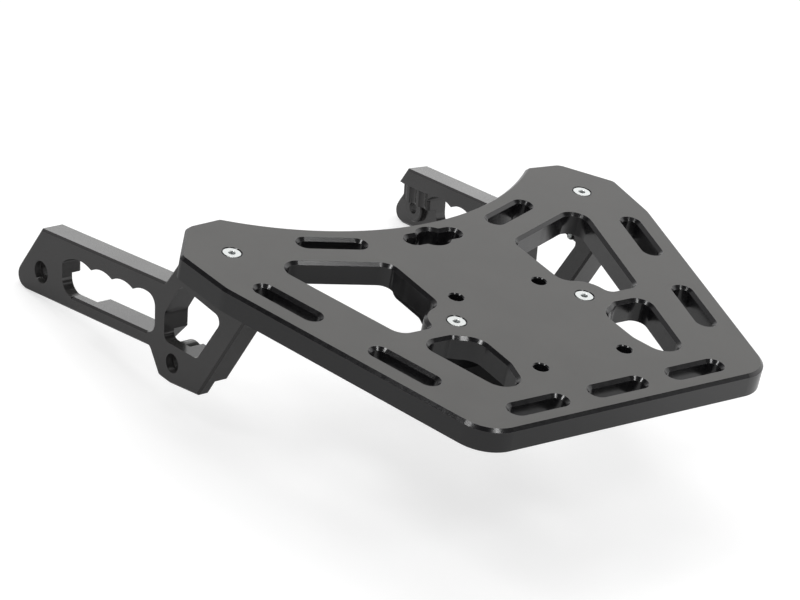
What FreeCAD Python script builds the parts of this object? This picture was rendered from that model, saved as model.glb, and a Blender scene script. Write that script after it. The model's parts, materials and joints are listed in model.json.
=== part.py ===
import FreeCAD, Part
import math
import os

from FreeCAD import Matrix, Vector

# Motorcycle luggage rack, in millimetres. Origin on the top face of the top plate, at the
# centre of its four case-mounting holes. +X is the rider's right, +Y the way the bike
# rides, +Z up.

# Top plate
plate_thickness = 15.0
plate_bevel = 2.0               # bevel round the top edge and round every large opening
rear_edge_y = -92.3
rear_corner_x = 108.5
rear_corner_r = 24.5
side_rake = 17.25               # degrees that the long side leans out from straight ahead
side_bend_y = 94.2
side_bend_r = 22.0
shoulder_rake = 6.3             # degrees, the short side ahead of the bend
shoulder_end_y = 136.1
shoulder_end_r = 7.0
front_facet_x = 24.0            # how far inboard the slanting front corner runs
front_facet_y = 31.3            # and how far ahead
front_facet_r = 9.5
front_edge_rake = 5.3           # degrees, the front edge still gains a little towards its tip
front_tip_r = 4.0
front_bay_r = 193.0             # hollow in the middle of the front edge
front_bay_y = 126.75            # deepest point of that hollow

# Case-mounting holes, on a rectangle about the origin
case_hole_dx = 64.4
case_hole_dy = 84.2
case_hole_d = 9.0
case_hole_bevel = 0.65

# Lashing slots
slot_width = 10.5
rear_slot_length = 40.0
rear_slot_pitch = 60.2
rear_slot_inset = 17.05
front_slot_length = 42.6
front_slot_x = 69.6
front_slot_y = 121.4
front_slot_tilt = 19.5
side_slot_length = 46.6
side_slot_inset = 19.9
side_slot_first = 75.5          # along the side, from the rear corner
side_slot_pitch = 87.0

# Keyhole opening behind the front hollow
keyhole_y = 109.9
keyhole_length = 40.0
keyhole_bore_d = 19.6

# Windows that lighten the plate
window_inner_x = 49.0           # inboard wall of all four
window_side_rail = 49.0         # plate left between a window and the raked side
front_window_y = 18.0           # rear wall of the front windows
front_window_lead_y = 88.4      # their front wall, where it meets the inboard one
front_window_tilt = 19.5
front_window_inner_r = 8.5
front_window_outer_r = 9.3
front_window_heel_r = 8.0
rear_window_y = 4.1             # front wall of the rear windows
rear_window_knee_y = -32.5      # where the inboard wall turns outward
rear_window_taper = 16.0        # degrees of that turn
rear_window_end_r = 10.1
rear_window_outer_r = 8.0
rear_window_knee_r = 6.0
screw_boss_r = 19.5             # plate kept round each rear screw
screw_boss_root_r = 8.0         # hollow fillet, boss to inboard wall
screw_boss_rear_root_r = 12.0
screw_boss_rib_r = 4.3          # hollow fillet, boss to the rib between the windows

# Countersunk screws
screw_d = 6.0
screw_clearance = 0.3           # round the shank in a plain hole, on the radius
thread_gap = 0.05               # between screw and tapped wall, on the radius
seat_gap = 0.05                 # between the two cones
head_sink = 0.2                 # top of the head below the plate
head_d = 11.4
head_land = 0.7                 # plain rim of the head, above its cone
socket_across = 4.0
socket_depth = 2.6
front_screw_x = 137.5
front_screw_y = 130.3
front_screw_length = 35.0
rear_screw_x = 49.6
rear_screw_y = 18.4
rear_screw_length = 25.0

# Grab arms. Along, across and down: U runs forward from the front screw, Z is height, and
# depth runs inboard from the outer face.
arm_thickness = 18.0
arm_splay = 3.63                # degrees that each arm opens outward towards the front
arm_edge_bevel = 1.4
pad_front_u = 31.7              # the pad under the plate reaches this far ahead of the screw
pad_rear_u = -38.5
riser_rake = 26.1               # degrees from upright
riser_foot_z = -44.2            # where the riser meets the bar
riser_fillet_r = 3.0
bar_rake = 13.47                # degrees that the bar drops towards the front
bar_length = 134.4              # along the top of the bar, riser to nose
bar_height = 46.3               # square to the top of the bar
nose_run = 38.2                 # how far the nose leans forward over that height
nose_r = 9.0
throat_s = 16.6                 # where the underside of the bar meets the foot
throat_r = 4.0
foot_toe_u = 37.9
foot_toe_z = -106.7
foot_toe_r = 3.0
foot_sole_u = 26.9
foot_sole_z = -106.0
foot_sole_r = 12.0
foot_heel_u = -2.2
foot_heel_z = -98.5
foot_heel_r = 2.5

# Grip window in the bar, with finger scallops along its top
grip_rear_s = 10.2
grip_front_s = 110.7
grip_floor = 37.2               # below the top of the bar
grip_cusp = 13.4
scallop_first_s = 33.65
scallop_pitch = 22.5
scallop_count = 2               # full scallops, between the two end ones
scallop_rise = 2.8
front_scallop_rise = 4.6
front_scallop_end = 16.7
rear_scallop_rise = 3.0
grip_rear_r = 8.0
grip_front_r = 3.0
grip_front_floor_r = 10.0

# Second window, between riser and foot
eye_top_z = -38.0
eye_front_u = 30.3
eye_nose_u = 41.4
eye_nose_z = -63.5
eye_toe_u = 37.9
eye_toe_z = -81.0
eye_heel_u = 4.4
eye_heel_z = -75.6
eye_rear_u = -13.0
eye_corner_r = 5.0
eye_lip = 5.0                   # thickness of the outer lip left above the window
eye_pocket_z = -25.0            # behind the lip the window reaches up to here

# Relief on the inboard side of the arm
web_depth = 7.7                 # thickness left at the nose and the foot
relief_line = 24.9              # below the top of the bar
relief_rear_s = 82.5            # rear end of the nose relief in the lower bar
relief_corner_r = 4.0
nose_bevel = 2.2                # bevel round the relieved nose
block_line = 11.5               # the fluted block starts this far below the top of the bar
block_front_s = 142.8
block_rear_r = 3.0              # round of the block's corner at the grip window
block_depth = 15.6
flute_count = 3
flute_pitch = 11.9
flute_first_s = 117.3
flute_r = 6.0
flute_cut = 2.0
flute_top_gap = 1.5             # plain strip left above the flutes
foot_relief_front_u = 38.0
foot_relief_front_z = -73.3
foot_relief_rear_u = -4.8
foot_relief_rear_z = -86.3

# Arm bolts
arm_bolt_d = 8.4
front_bolt_s = 134.6
front_bolt_drop = 29.6
front_bolt_counterbore_d = 15.0
front_bolt_counterbore = 4.5
front_boss_r = 10.2
front_boss_depth = 11.0
rear_bolt_u = 26.5
rear_bolt_z = -91.5
rear_bolt_counterbore_d = 12.5
rear_bolt_counterbore = 4.5
rear_boss_r = 12.0
rear_boss_depth = 18.0
boss_edge_bevel = 0.8

# Centre bracket under the plate
bracket_half_width = 27.2       # outer faces of its cheeks
bracket_cheek_thickness = 7.0
bracket_front_y = 107.7
bracket_front_z = -35.3
bracket_step_y = 76.0           # behind here the cheeks deepen
bracket_step_rake = 58.0        # degrees from upright
bracket_rear_z = -50.0
bracket_rear_y = -34.0
bracket_corner_r = 7.5
bracket_web_thickness = 10.0
bracket_web_front_y = 92.0
bracket_web_rear_y = -28.0
bracket_ear_r = 12.0
bracket_ear_thickness = 12.0
bracket_ear_root_r = 5.0
bracket_bolt_d = 8.4
bracket_bolt_z = -38.0
bracket_bolt_first_y = -20.0
bracket_bolt_pitch = 55.0

# Small amount by which a cutting tool passes the face that it cuts
overrun = 1.0

# Distance within which two measures count as the same, and how far from a sketch corner
# its upright edge may stand
same = 1e-4
edge_reach = 0.6


def on_plate(a, b):
    return Vector(a, b, 0.0)


def on_arm(a, b):
    return Vector(a, 0.0, b)


def rounded_loop(corners, place):
    """Closed wire through the corners (a, b, radius), each rounded by its own radius."""
    starts = []
    ends = []
    middles = []
    for index, (a, b, radius) in enumerate(corners):
        here = place(a, b)
        before = place(*corners[index - 1][:2])
        after = place(*corners[(index + 1) % len(corners)][:2])
        back = (before - here).normalize()
        ahead = (after - here).normalize()
        half_turn = back.getAngle(ahead) / 2.0
        setback = radius / math.tan(half_turn)
        bisector = (back + ahead).normalize()
        starts.append(here + back * setback)
        ends.append(here + ahead * setback)
        middles.append(here + bisector * (radius / math.sin(half_turn) - radius))
    edges = []
    for index, (a, b, radius) in enumerate(corners):
        if radius > 0.0:
            edges.append(Part.Arc(starts[index], middles[index], ends[index]).toShape())
        edges.append(Part.makeLine(ends[index], starts[(index + 1) % len(corners)]))
    return Part.Wire(edges)


def slab(wire, direction):
    """Solid swept from a flat closed wire."""
    return Part.Face(wire).extrude(direction)


def turned(profile):
    """Solid turned about the Z axis from a half profile."""
    section = Part.Face(Part.makePolygon(profile + profile[:1]))
    return section.revolve(Vector(0, 0, 0), Vector(0, 0, 1), 360)


def upright_edges(shape, a, b, place):
    """Edges square to the sketch plane that stand at the point (a, b)."""
    spot = place(a, b)
    across = place(1.0, 1.0) - place(0.0, 0.0)
    found = []
    for edge in shape.Edges:
        near = True
        for vertex in edge.Vertexes:
            gap = vertex.Point - spot
            flat = Vector(gap.x * across.x, gap.y * across.y, gap.z * across.z)
            near = near and flat.Length < edge_reach
        if near and len(edge.Vertexes) == 2:
            found.append(edge)
    return found


def edges_at_height(shape, height):
    """Edges that lie wholly at one height."""
    found = []
    for edge in shape.Edges:
        box = edge.BoundBox
        if abs(box.ZMin - height) < same and abs(box.ZMax - height) < same:
            found.append(edge)
    return found


def mirrored(shape):
    """The same shape on the other side of the bike."""
    return shape.mirror(Vector(0, 0, 0), Vector(1, 0, 0))


def side_point(along, inset):
    """Point beside the raked right side: along it from the rear corner, and inboard."""
    rake = math.radians(side_rake)
    x = rear_corner_x + along * math.sin(rake) - inset * math.cos(rake)
    y = rear_edge_y + along * math.cos(rake) + inset * math.sin(rake)
    return x, y


def side_line_x(y, inset):
    """X of the line parallel to the raked side, at one Y."""
    rake = math.radians(side_rake)
    x, start_y = side_point(0.0, inset)
    return x + (y - start_y) * math.tan(rake)


def plate_outline():
    """Outline of the top plate without the hollow in its front edge."""
    bend_x = side_line_x(side_bend_y, 0.0)
    shoulder_x = bend_x + (shoulder_end_y - side_bend_y) * math.tan(math.radians(shoulder_rake))
    facet_x = shoulder_x - front_facet_x
    facet_y = shoulder_end_y + front_facet_y
    right = [
        (rear_corner_x, rear_edge_y, rear_corner_r),
        (bend_x, side_bend_y, side_bend_r),
        (shoulder_x, shoulder_end_y, shoulder_end_r),
        (facet_x, facet_y, front_facet_r),
    ]
    left = [(-x, y, radius) for x, y, radius in reversed(right)]
    # Both front edges run on to the middle, where the hollow takes their meeting point away.
    roof_y = facet_y + facet_x * math.tan(math.radians(front_edge_rake))
    return rounded_loop(right + [(0.0, roof_y, 0.0)] + left, on_plate)


def plate_blank():
    """Slab of the plate with the hollow front edge and its two softened tips."""
    down = Vector(0, 0, -plate_thickness)
    blank = slab(plate_outline(), down)
    bay_centre = Vector(0, front_bay_y + front_bay_r, overrun)
    bay = Part.makeCylinder(front_bay_r, plate_thickness + 2 * overrun, bay_centre, Vector(0, 0, -1))
    blank = blank.cut(bay)
    tip_edges = []
    for edge in blank.Edges:
        box = edge.BoundBox
        tall = box.ZLength > plate_thickness - same
        from_centre = Vector(box.Center.x - bay_centre.x, box.Center.y - bay_centre.y, 0).Length
        if tall and box.YMin > shoulder_end_y and abs(from_centre - front_bay_r) < same:
            tip_edges.append(edge)
    return blank.makeFillet(front_tip_r, tip_edges)


def flared_cutter(wire, bevel):
    """Cutting tool through the plate whose mouth opens by a 45 degree bevel."""
    shaft = slab(wire, Vector(0, 0, -plate_thickness - overrun))
    mouth_wire = wire.makeOffset2D(bevel)
    throat_wire = wire.copy()
    throat_wire.translate(Vector(0, 0, -bevel))
    mouth = Part.makeLoft([throat_wire, mouth_wire], True, True)
    return shaft.fuse(mouth).removeSplitter()


def slot_wire(length, centre_x, centre_y, turn):
    """Round-ended slot, its long way turned from X by so many degrees."""
    half = (length - slot_width) / 2.0
    radius = slot_width / 2.0
    right_top = Vector(half, radius, 0)
    left_top = Vector(-half, radius, 0)
    right_end = Vector(half + radius, 0, 0)
    left_end = Vector(-half - radius, 0, 0)
    right_low = Vector(half, -radius, 0)
    left_low = Vector(-half, -radius, 0)
    wire = Part.Wire([
        Part.makeLine(left_low, right_low),
        Part.Arc(right_low, right_end, right_top).toShape(),
        Part.makeLine(right_top, left_top),
        Part.Arc(left_top, left_end, left_low).toShape(),
    ])
    wire.rotate(Vector(0, 0, 0), Vector(0, 0, 1), turn)
    wire.translate(Vector(centre_x, centre_y, 0))
    return wire


def slot_cutters():
    """All nine lashing slots."""
    wires = []
    for step in (-1, 0, 1):
        y = rear_edge_y + rear_slot_inset
        wires.append(slot_wire(rear_slot_length, step * rear_slot_pitch, y, 0.0))
    for side in (-1, 1):
        turn = side * front_slot_tilt
        wires.append(slot_wire(front_slot_length, side * front_slot_x, front_slot_y, turn))
        for step in (0, 1):
            x, y = side_point(side_slot_first + step * side_slot_pitch, side_slot_inset)
            turn = side * (90.0 - side_rake)
            wires.append(slot_wire(side_slot_length, side * x, y, turn))
    return [flared_cutter(wire, plate_bevel) for wire in wires]


def keyhole_cutters():
    """Slot with a round bore through its middle."""
    slot = flared_cutter(slot_wire(keyhole_length, 0.0, keyhole_y, 0.0), plate_bevel)
    circle = Part.makeCircle(keyhole_bore_d / 2.0, Vector(0, keyhole_y, 0))
    return [slot, flared_cutter(Part.Wire([circle]), plate_bevel)]


def case_hole_cutters():
    """Four round holes on a rectangle about the origin."""
    cutters = []
    for side in (-0.5, 0.5):
        for end in (-0.5, 0.5):
            centre = Vector(side * case_hole_dx, end * case_hole_dy, 0)
            circle = Part.makeCircle(case_hole_d / 2.0, centre)
            cutters.append(flared_cutter(Part.Wire([circle]), case_hole_bevel))
    return cutters


def screw_hole_cutter(x, y):
    """Countersunk clearance hole."""
    cone_r = head_d / 2.0 + head_sink + head_land + seat_gap
    hole_r = screw_d / 2.0 + screw_clearance
    cutter = turned([
        Vector(0, 0, 0),
        Vector(cone_r, 0, 0),
        Vector(hole_r, 0, hole_r - cone_r),
        Vector(hole_r, 0, -plate_thickness - overrun),
        Vector(0, 0, -plate_thickness - overrun),
    ])
    cutter.translate(Vector(x, y, 0))
    return cutter


def front_window_blank():
    """Front right window before its boss is left standing, as a wall-sized column."""
    tilt = math.radians(front_window_tilt)
    lead_x, lead_y = window_inner_x, front_window_lead_y
    rake = math.radians(side_rake)
    base_x, base_y = side_point(0.0, window_side_rail)
    # The tilted front wall meets the raked outer wall here.
    across = (lead_y - base_y) * math.tan(rake) + base_x - lead_x
    run = across / (1.0 - math.tan(tilt) * math.tan(rake))
    outer_x = lead_x + run
    outer_y = lead_y + run * math.tan(tilt)
    corners = [
        (lead_x, lead_y, front_window_inner_r),
        (outer_x, outer_y, front_window_outer_r),
        (side_line_x(front_window_y, window_side_rail), front_window_y, front_window_heel_r),
        (window_inner_x, front_window_y, 0.0),
    ]
    return slab(rounded_loop(corners, on_plate), Vector(0, 0, -plate_thickness - overrun))


def rear_window_blank():
    """Rear right window before its boss is left standing."""
    rake = math.radians(side_rake)
    taper = math.radians(rear_window_taper)
    base_x, base_y = side_point(0.0, window_side_rail)
    # The raked outer wall and the tapered inner wall meet behind the rounded end.
    gap = base_x - base_y * math.tan(rake) - window_inner_x - rear_window_knee_y * math.tan(taper)
    end_y = -gap / (math.tan(rake) + math.tan(taper))
    end_x = side_line_x(end_y, window_side_rail)
    corners = [
        (window_inner_x, rear_window_y, 0.0),
        (side_line_x(rear_window_y, window_side_rail), rear_window_y, rear_window_outer_r),
        (end_x, end_y, rear_window_end_r),
        (window_inner_x, rear_window_knee_y, rear_window_knee_r),
    ]
    return slab(rounded_loop(corners, on_plate), Vector(0, 0, -plate_thickness - overrun))


def boss_crossing(level_x=None, level_y=None, ahead=1.0):
    """Where the round screw boss crosses a wall at one X or one Y."""
    if level_x is not None:
        reach = math.sqrt(screw_boss_r ** 2 - (level_x - rear_screw_x) ** 2)
        return level_x, rear_screw_y + ahead * reach
    reach = math.sqrt(screw_boss_r ** 2 - (level_y - rear_screw_y) ** 2)
    return rear_screw_x + reach, level_y


def window_cutters():
    """The four windows as columns with their screw bosses cut away and rounded."""
    boss_foot = Vector(rear_screw_x, rear_screw_y, overrun)
    boss = Part.makeCylinder(screw_boss_r, plate_thickness + 3 * overrun, boss_foot, Vector(0, 0, -1))
    front = front_window_blank().cut(boss)
    x, y = boss_crossing(level_x=window_inner_x, ahead=1.0)
    front = front.makeFillet(screw_boss_root_r, upright_edges(front, x, y, on_plate))
    x, y = boss_crossing(level_y=front_window_y)
    front = front.makeFillet(screw_boss_rib_r, upright_edges(front, x, y, on_plate))
    rear = rear_window_blank().cut(boss)
    x, y = boss_crossing(level_x=window_inner_x, ahead=-1.0)
    rear = rear.makeFillet(screw_boss_rear_root_r, upright_edges(rear, x, y, on_plate))
    x, y = boss_crossing(level_y=rear_window_y)
    rear = rear.makeFillet(screw_boss_rib_r, upright_edges(rear, x, y, on_plate))
    return [front, rear, mirrored(front), mirrored(rear)]


def top_plate():
    """The flat luggage plate with all its openings."""
    plate = plate_blank()
    plate = plate.cut(window_cutters())
    plate = plate.makeChamfer(plate_bevel, edges_at_height(plate, 0.0))
    plate = plate.cut(slot_cutters() + keyhole_cutters() + case_hole_cutters())
    screws = []
    for side in (-1, 1):
        screws.append(screw_hole_cutter(side * front_screw_x, front_screw_y))
        screws.append(screw_hole_cutter(side * rear_screw_x, rear_screw_y))
    return plate.cut(screws)


def countersunk_screw(length, x, y):
    """Countersunk machine screw with a hexagon socket, standing in its hole."""
    head_r = head_d / 2.0
    shank_r = screw_d / 2.0
    cone_top = -head_sink - head_land
    cone_foot = cone_top - (head_r - shank_r)
    tip = -head_sink - length
    screw = turned([
        Vector(0, 0, -head_sink),
        Vector(head_r, 0, -head_sink),
        Vector(head_r, 0, cone_top),
        Vector(shank_r, 0, cone_foot),
        Vector(shank_r, 0, tip),
        Vector(0, 0, tip),
    ])
    corner_r = socket_across / math.sqrt(3.0)
    hexagon = []
    for step in range(7):
        turn = math.radians(60.0 * step)
        hexagon.append(Vector(corner_r * math.cos(turn), corner_r * math.sin(turn), -head_sink))
    socket = slab(Part.makePolygon(hexagon), Vector(0, 0, -socket_depth))
    screw = screw.cut(socket)
    screw.translate(Vector(x, y, 0))
    return screw


def bar_point(along, drop):
    """Point on the arm: along the top of its bar from the riser, and square below it."""
    rake = math.radians(bar_rake)
    root_u = pad_front_u + (-plate_thickness - riser_foot_z) * math.tan(math.radians(riser_rake))
    u = root_u + along * math.cos(rake) - drop * math.sin(rake)
    z = riser_foot_z - along * math.sin(rake) - drop * math.cos(rake)
    return u, z


def arm_blank():
    """Arm as a flat plate of full thickness, its outline edges bevelled."""
    root = bar_point(0.0, 0.0)
    nose_top = bar_point(bar_length, 0.0)
    nose_foot = bar_point(bar_length + nose_run, bar_height)
    throat = bar_point(throat_s, bar_height)
    corners = [
        (pad_rear_u, -plate_thickness, 0.0),
        (pad_front_u, -plate_thickness, 0.0),
        (root[0], root[1], riser_fillet_r),
        (nose_top[0], nose_top[1], 0.0),
        (nose_foot[0], nose_foot[1], nose_r),
        (throat[0], throat[1], throat_r),
        (foot_toe_u, foot_toe_z, foot_toe_r),
        (foot_sole_u, foot_sole_z, foot_sole_r),
        (foot_heel_u, foot_heel_z, foot_heel_r),
    ]
    blank = slab(rounded_loop(corners, on_arm), Vector(0, arm_thickness, 0))
    edges = []
    for edge in blank.Edges:
        box = edge.BoundBox
        flat = box.YLength < same
        on_pad = box.ZMin > -plate_thickness - same
        if flat and not on_pad:
            edges.append(edge)
    return blank.makeChamfer(arm_edge_bevel, edges)


def arc_through(start, middle, end):
    """Arc on the arm through three points (u, z)."""
    return Part.Arc(on_arm(*start), on_arm(*middle), on_arm(*end)).toShape()


def grip_cutter():
    """Window for the hand, with finger scallops along its top."""
    cusps = []
    for step in range(scallop_count + 1):
        cusps.append(scallop_first_s + step * scallop_pitch)
    rear_top = bar_point(grip_rear_s, grip_cusp)
    rear_crown = bar_point((grip_rear_s + cusps[0]) / 2.0, grip_cusp - rear_scallop_rise)
    edges = [arc_through(rear_top, rear_crown, bar_point(cusps[0], grip_cusp))]
    for left, right in zip(cusps, cusps[1:]):
        crown = bar_point((left + right) / 2.0, grip_cusp - scallop_rise)
        edges.append(arc_through(bar_point(left, grip_cusp), crown, bar_point(right, grip_cusp)))
    front_top = bar_point(grip_front_s, front_scallop_end)
    mean_drop = (grip_cusp + front_scallop_end) / 2.0
    front_crown = bar_point((cusps[-1] + grip_front_s) / 2.0, mean_drop - front_scallop_rise)
    edges.append(arc_through(bar_point(cusps[-1], grip_cusp), front_crown, front_top))
    front_floor = bar_point(grip_front_s, grip_floor)
    rear_floor = bar_point(grip_rear_s, grip_floor)
    edges.append(Part.makeLine(on_arm(*front_top), on_arm(*front_floor)))
    edges.append(Part.makeLine(on_arm(*front_floor), on_arm(*rear_floor)))
    edges.append(Part.makeLine(on_arm(*rear_floor), on_arm(*rear_top)))
    cutter = slab(Part.Wire(edges), Vector(0, arm_thickness + 2 * overrun, 0))
    cutter.translate(Vector(0, -overrun, 0))
    for corner, radius in (
        (rear_top, grip_rear_r),
        (rear_floor, grip_rear_r),
        (front_floor, grip_front_floor_r),
        (front_top, grip_front_r),
    ):
        cutter = cutter.makeFillet(radius, upright_edges(cutter, corner[0], corner[1], on_arm))
    return cutter


def grip_floor_bevel():
    """Bevel along the outer upper edge of the lower bar."""
    start = bar_point(grip_rear_s + grip_rear_r, grip_floor)
    end = bar_point(grip_front_s - grip_front_floor_r, grip_floor)
    along = on_arm(*end) - on_arm(*start)
    below = bar_point(grip_rear_s + grip_rear_r, grip_floor + arm_edge_bevel)
    section = Part.makePolygon([
        on_arm(*start),
        on_arm(*below),
        on_arm(*start) + Vector(0, arm_edge_bevel, 0),
        on_arm(*start),
    ])
    return slab(section, along)


def eye_cutters():
    """Second window: full depth below its lip, and a taller pocket behind the lip."""
    riser_slope = (eye_nose_u - eye_front_u) / (eye_top_z - eye_nose_z)
    strut_slope = (eye_heel_u - eye_rear_u) / (eye_top_z - eye_heel_z)
    low = [
        (eye_nose_u, eye_nose_z, eye_corner_r),
        (eye_toe_u, eye_toe_z, eye_corner_r),
        (eye_heel_u, eye_heel_z, eye_corner_r),
    ]
    opening = low + [
        (eye_rear_u, eye_top_z, eye_corner_r),
        (eye_front_u, eye_top_z, eye_corner_r),
    ]
    rise = eye_pocket_z - eye_top_z
    pocket = low + [
        (eye_rear_u - rise * strut_slope, eye_pocket_z, eye_corner_r),
        (eye_front_u - rise * riser_slope, eye_pocket_z, eye_corner_r),
    ]
    through = slab(rounded_loop(opening, on_arm), Vector(0, arm_thickness + 2 * overrun, 0))
    through.translate(Vector(0, -overrun, 0))
    behind = slab(rounded_loop(pocket, on_arm), Vector(0, arm_thickness - eye_lip + overrun, 0))
    behind.translate(Vector(0, eye_lip, 0))
    return [through, behind]


def inboard_slab(corners, depth):
    """Cutting block over the inboard side, from one depth outwards."""
    block = slab(rounded_loop(corners, on_arm), Vector(0, arm_thickness - depth + overrun, 0))
    block.translate(Vector(0, depth, 0))
    return block


def nose_relief():
    """Half of the thickness taken off the nose and the front of the lower bar."""
    far = nose_run + nose_r
    middle = (grip_floor + relief_line) / 2.0
    rear_top = bar_point(relief_rear_s, middle)
    inner = bar_point((grip_front_s + relief_rear_s) / 2.0, middle)
    window_top = bar_point((grip_front_s + relief_rear_s) / 2.0, relief_line)
    block_foot = bar_point(block_front_s, relief_line)
    block_top = bar_point(block_front_s, block_line)
    front_top = bar_point(bar_length + far, block_line)
    front_low = bar_point(bar_length + far, bar_height + nose_r)
    rear_low = bar_point(relief_rear_s, bar_height + nose_r)
    corners = [
        (rear_top[0], rear_top[1], 0.0),
        (inner[0], inner[1], 0.0),
        (window_top[0], window_top[1], 0.0),
        (block_foot[0], block_foot[1], 0.0),
        (block_top[0], block_top[1], 0.0),
        (front_top[0], front_top[1], 0.0),
        (front_low[0], front_low[1], 0.0),
        (rear_low[0], rear_low[1], 0.0),
    ]
    return inboard_slab(corners, web_depth)


def fluted_block_cutters():
    """Step down to the fluted block between the top of the bar and the relieved nose."""
    rear_s = (grip_front_s + relief_rear_s) / 2.0
    far_s = bar_length + nose_run + nose_r
    corners = []
    for along, drop in (
        (rear_s, block_line),
        (far_s, block_line),
        (far_s, relief_line + overrun),
        (rear_s, relief_line + overrun),
    ):
        u, z = bar_point(along, drop)
        corners.append((u, z, 0.0))
    cutters = [inboard_slab(corners, block_depth)]
    top_drop = block_line + flute_top_gap
    for step in range(flute_count):
        along = flute_first_s + step * flute_pitch
        top = bar_point(along, top_drop)
        foot = bar_point(along, relief_line + overrun)
        path = on_arm(*foot) - on_arm(*top)
        start = on_arm(*top) + Vector(0, block_depth - flute_cut + flute_r, 0)
        cutters.append(Part.makeCylinder(flute_r, path.Length, start, path))
    return cutters


def block_rear_round():
    """Tool that rounds the block's corner where it meets the grip window."""
    top = bar_point(grip_front_s, block_line + overrun)
    foot = bar_point(grip_front_s, relief_line)
    path = on_arm(*foot) - on_arm(*top)
    ahead = on_arm(*bar_point(grip_front_s + block_rear_r, block_line + overrun)) - on_arm(*top)
    corner = on_arm(*top) + Vector(0, block_depth, 0)
    section = Part.makePolygon([
        corner,
        corner + ahead,
        corner + ahead - Vector(0, block_rear_r, 0),
        corner - Vector(0, block_rear_r, 0),
        corner,
    ])
    axis = corner + ahead - Vector(0, block_rear_r, 0)
    return slab(section, path).cut(Part.makeCylinder(block_rear_r, path.Length, axis, path))


def foot_relief():
    """Half of the thickness taken off the foot, below the second window."""
    slope = (foot_relief_front_z - foot_relief_rear_z) / (foot_relief_front_u - foot_relief_rear_u)
    rear_u = pad_rear_u
    rear_z = foot_relief_rear_z + (rear_u - foot_relief_rear_u) * slope
    throat = bar_point(throat_s, bar_height)
    low_z = foot_toe_z - overrun
    corners = [
        (foot_relief_front_u, foot_relief_front_z, relief_corner_r),
        (rear_u, rear_z, 0.0),
        (rear_u, low_z, 0.0),
        (throat[0] + overrun, low_z, 0.0),
        (throat[0] + overrun, throat[1] - overrun, 0.0),
    ]
    return inboard_slab(corners, web_depth)


def boss(u, z, radius, depth):
    """Round pad about a bolt hole, on the relieved web."""
    height = depth - web_depth / 2.0
    pad = Part.makeCylinder(radius, height, Vector(u, web_depth / 2.0, z), Vector(0, 1, 0))
    rim = [edge for edge in pad.Edges if abs(edge.BoundBox.YMin - depth) < same]
    return pad.makeChamfer(boss_edge_bevel, rim)


def bolt_hole(spot, counterbore_d, counterbore):
    """Plain bolt hole with a counterbore on the outer face."""
    start = Vector(spot[0], -overrun, spot[1])
    inward = Vector(0, 1, 0)
    hole = Part.makeCylinder(arm_bolt_d / 2.0, arm_thickness + 2 * overrun, start, inward)
    seat = Part.makeCylinder(counterbore_d / 2.0, counterbore + overrun, start, inward)
    return hole.fuse(seat)


def nose_rim(arm):
    """Inner edges of the relieved nose, from its front round to the lower bar."""
    found = []
    for edge in arm.Edges:
        box = edge.BoundBox
        on_web = abs(box.YMin - web_depth) < same and box.YLength < same
        if not on_web:
            continue
        middle = edge.valueAt((edge.FirstParameter + edge.LastParameter) / 2.0)
        rake = math.radians(bar_rake)
        top_u, top_z = bar_point(0.0, 0.0)
        drop = -(middle.x - top_u) * math.sin(rake) - (middle.z - top_z) * math.cos(rake)
        along = (middle.x - top_u) * math.cos(rake) - (middle.z - top_z) * math.sin(rake)
        ahead = along > bar_length and drop > relief_line + overrun
        leaning = along > block_front_s + overrun and drop > block_line + overrun
        below = along > relief_rear_s + overrun and drop > bar_height - overrun
        if ahead or leaning or below:
            found.append(edge)
    return found


def arm_in_own_frame():
    """Right arm with its outer face in the XZ plane and the front screw at U = 0."""
    arm = arm_blank()
    arm = arm.cut([nose_relief(), foot_relief()])
    arm = arm.makeChamfer(nose_bevel, nose_rim(arm))
    arm = arm.cut(fluted_block_cutters())
    nose_bolt = bar_point(front_bolt_s, front_bolt_drop)
    arm = arm.fuse([
        boss(nose_bolt[0], nose_bolt[1], front_boss_r, front_boss_depth),
        boss(rear_bolt_u, rear_bolt_z, rear_boss_r, rear_boss_depth),
    ])
    arm = arm.cut([grip_cutter(), grip_floor_bevel(), block_rear_round()] + eye_cutters())
    tap = Part.makeCylinder(
        screw_d / 2.0 + thread_gap,
        front_screw_length,
        Vector(0, arm_thickness / 2.0, -plate_thickness + overrun),
        Vector(0, 0, -1),
    )
    holes = [
        bolt_hole(nose_bolt, front_bolt_counterbore_d, front_bolt_counterbore),
        bolt_hole((rear_bolt_u, rear_bolt_z), rear_bolt_counterbore_d, rear_bolt_counterbore),
        tap,
    ]
    return arm.cut(holes).removeSplitter()


def right_arm():
    """Arm under the right front corner, its mid-plane through the front screw."""
    splay = math.radians(arm_splay)
    ahead = Vector(math.sin(splay), math.cos(splay), 0)
    inboard = Vector(-math.cos(splay), math.sin(splay), 0)
    origin = Vector(front_screw_x, front_screw_y, 0) - inboard * (arm_thickness / 2.0)
    place = Matrix(
        ahead.x, inboard.x, 0, origin.x,
        ahead.y, inboard.y, 0, origin.y,
        0, 0, 1, 0,
        0, 0, 0, 1,
    )
    return arm_in_own_frame().transformed(place)


def bracket_cheek():
    """Right cheek of the bracket, a plate on edge that deepens towards the rear."""
    top = -plate_thickness
    step_run = (bracket_front_z - bracket_rear_z) * math.tan(math.radians(bracket_step_rake))
    corners = [
        (bracket_rear_y, top, 0.0),
        (bracket_front_y, top, 0.0),
        (bracket_front_y, bracket_front_z, bracket_corner_r),
        (bracket_step_y, bracket_front_z, bracket_corner_r),
        (bracket_step_y - step_run, bracket_rear_z, bracket_corner_r),
        (bracket_rear_y, bracket_rear_z, bracket_corner_r),
    ]

    def on_cheek(a, b):
        return Vector(bracket_half_width - bracket_cheek_thickness, a, b)

    return slab(rounded_loop(corners, on_cheek), Vector(bracket_cheek_thickness, 0, 0))


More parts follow.
